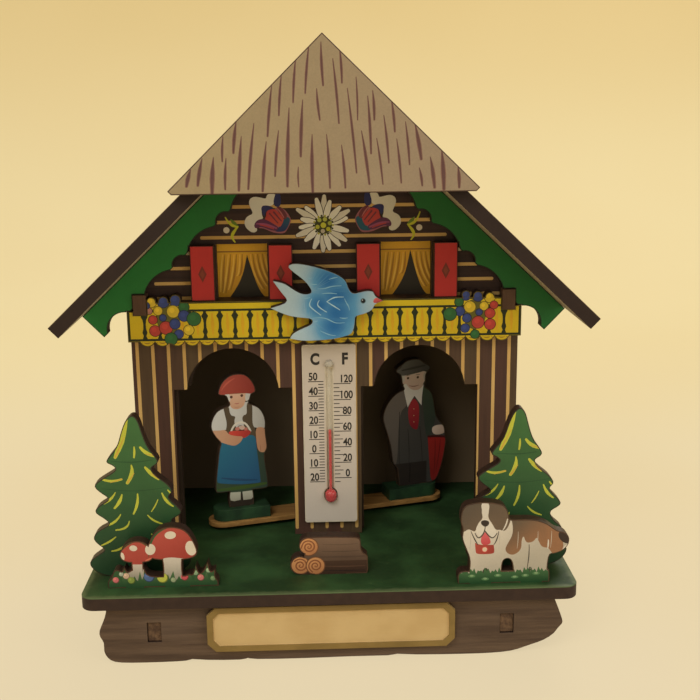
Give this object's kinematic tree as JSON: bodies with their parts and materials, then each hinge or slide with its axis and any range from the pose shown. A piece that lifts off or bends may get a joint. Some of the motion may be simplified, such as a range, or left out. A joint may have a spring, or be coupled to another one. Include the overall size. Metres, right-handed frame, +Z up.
{
  "type": "weather house",
  "caption": "Chalet-shaped weather house of slotted boards: a figure arm on a twisted gut swings through arched doorways beside a glass thermometer.",
  "frame": {"origin": "under the middle of the base, on the surface it stands on", "axes": "+Z up, the front looks along -Y, +X to the right as seen from the front"},
  "size_m": [0.1538, 0.098, 0.1789],
  "materials": {
    "lawn_paint": "green mottled paint, dark cut edges",
    "bark_print": "brown printed bark, satin",
    "bare_board": "bare board, light sanding",
    "name_gold": "gold tan paint, satin",
    "wall_print": "dark brown planks with cream joints, printed",
    "lining_brown": "brown stain",
    "back_board": "brown stain",
    "balcony_print": "yellow rail and balusters with painted blossoms",
    "curtain_print": "gold painted folds",
    "shutter_red": "red paint with a dark diamond",
    "roof_stain": "brown stain, cream underside",
    "thatch_print": "tan straw print",
    "barge_green": "dark green paint",
    "bird_blue": "blue paint with pale feather edges",
    "scale_card": "printed scale, satin",
    "clear_glass": "polished",
    "red_spirit": "liquid",
    "clear_glue": "dried glue",
    "fir_green": "green paint with yellow strokes",
    "mushroom_print": "red caps with white spots, printed",
    "dog_print": "white, grey and brown coat, printed",
    "log_print": "brown bark and ringed ends, printed",
    "brass_fittings": "turned, satin",
    "gut_string": "twisted gut, satin",
    "arm_wood": "pale wood, sanded",
    "stand_green": "green paint",
    "woman_print": "painted costume",
    "man_print": "painted coat, beard and umbrella"
  },
  "bodies": {
    "house": {"lawn_base": "lawn_paint", "plinth_front": "bark_print", "plinth_back": "bark_print", "rail_left": "bare_board", "rail_right": "bare_board", "name_plate": "name_gold", "front_wall": "wall_print", "wall_lining": "lining_brown", "back_panel": "back_board", "side_wall_left": "back_board", "side_wall_right": "back_board", "balcony": "balcony_print", "curtain_left": "curtain_print", "curtain_right": "curtain_print", "shutter_left_outer": "shutter_red", "shutter_left_inner": "shutter_red", "shutter_right_inner": "shutter_red", "shutter_right_outer": "shutter_red", "roof_left": "roof_stain", "roof_right": "roof_stain", "thatch_gable": "thatch_print", "bargeboard_left": "barge_green", "bargeboard_right": "barge_green", "bird": "bird_blue", "thermometer_plate": "scale_card", "thermometer_tube": "clear_glass", "thermometer_spirit": "red_spirit", "tube_glue": "clear_glue", "tree_left": "fir_green", "tree_right": "fir_green", "mushrooms": "mushroom_print", "dog": "dog_print", "log_pile": "log_print", "gut_bar": "bare_board", "bar_cleat": "bare_board"},
    "figure_arm": {"figure_arm": "arm_wood", "arm_hub": "brass_fittings", "gut": "gut_string", "stand_woman": "stand_green", "stand_man": "stand_green", "woman": "woman_print", "man": "man_print"},
    "adjusting_peg": {"adjusting_peg": "brass_fittings"}
  },
  "joints": [
    {"name": "arm_swing", "type": "hinge", "parent": "house", "child": "figure_arm", "pos_m": [0, 0.013, 0.026], "axis": [0, 0, 1], "range_deg": [-38, 8], "stiffness_Nm_per_rad": 0.000008},
    {"name": "peg_turn", "type": "hinge", "parent": "house", "child": "adjusting_peg", "pos_m": [0, 0.013, 0.124], "axis": [0, 0, 1], "range_deg": [-180, 180]}
  ]
}
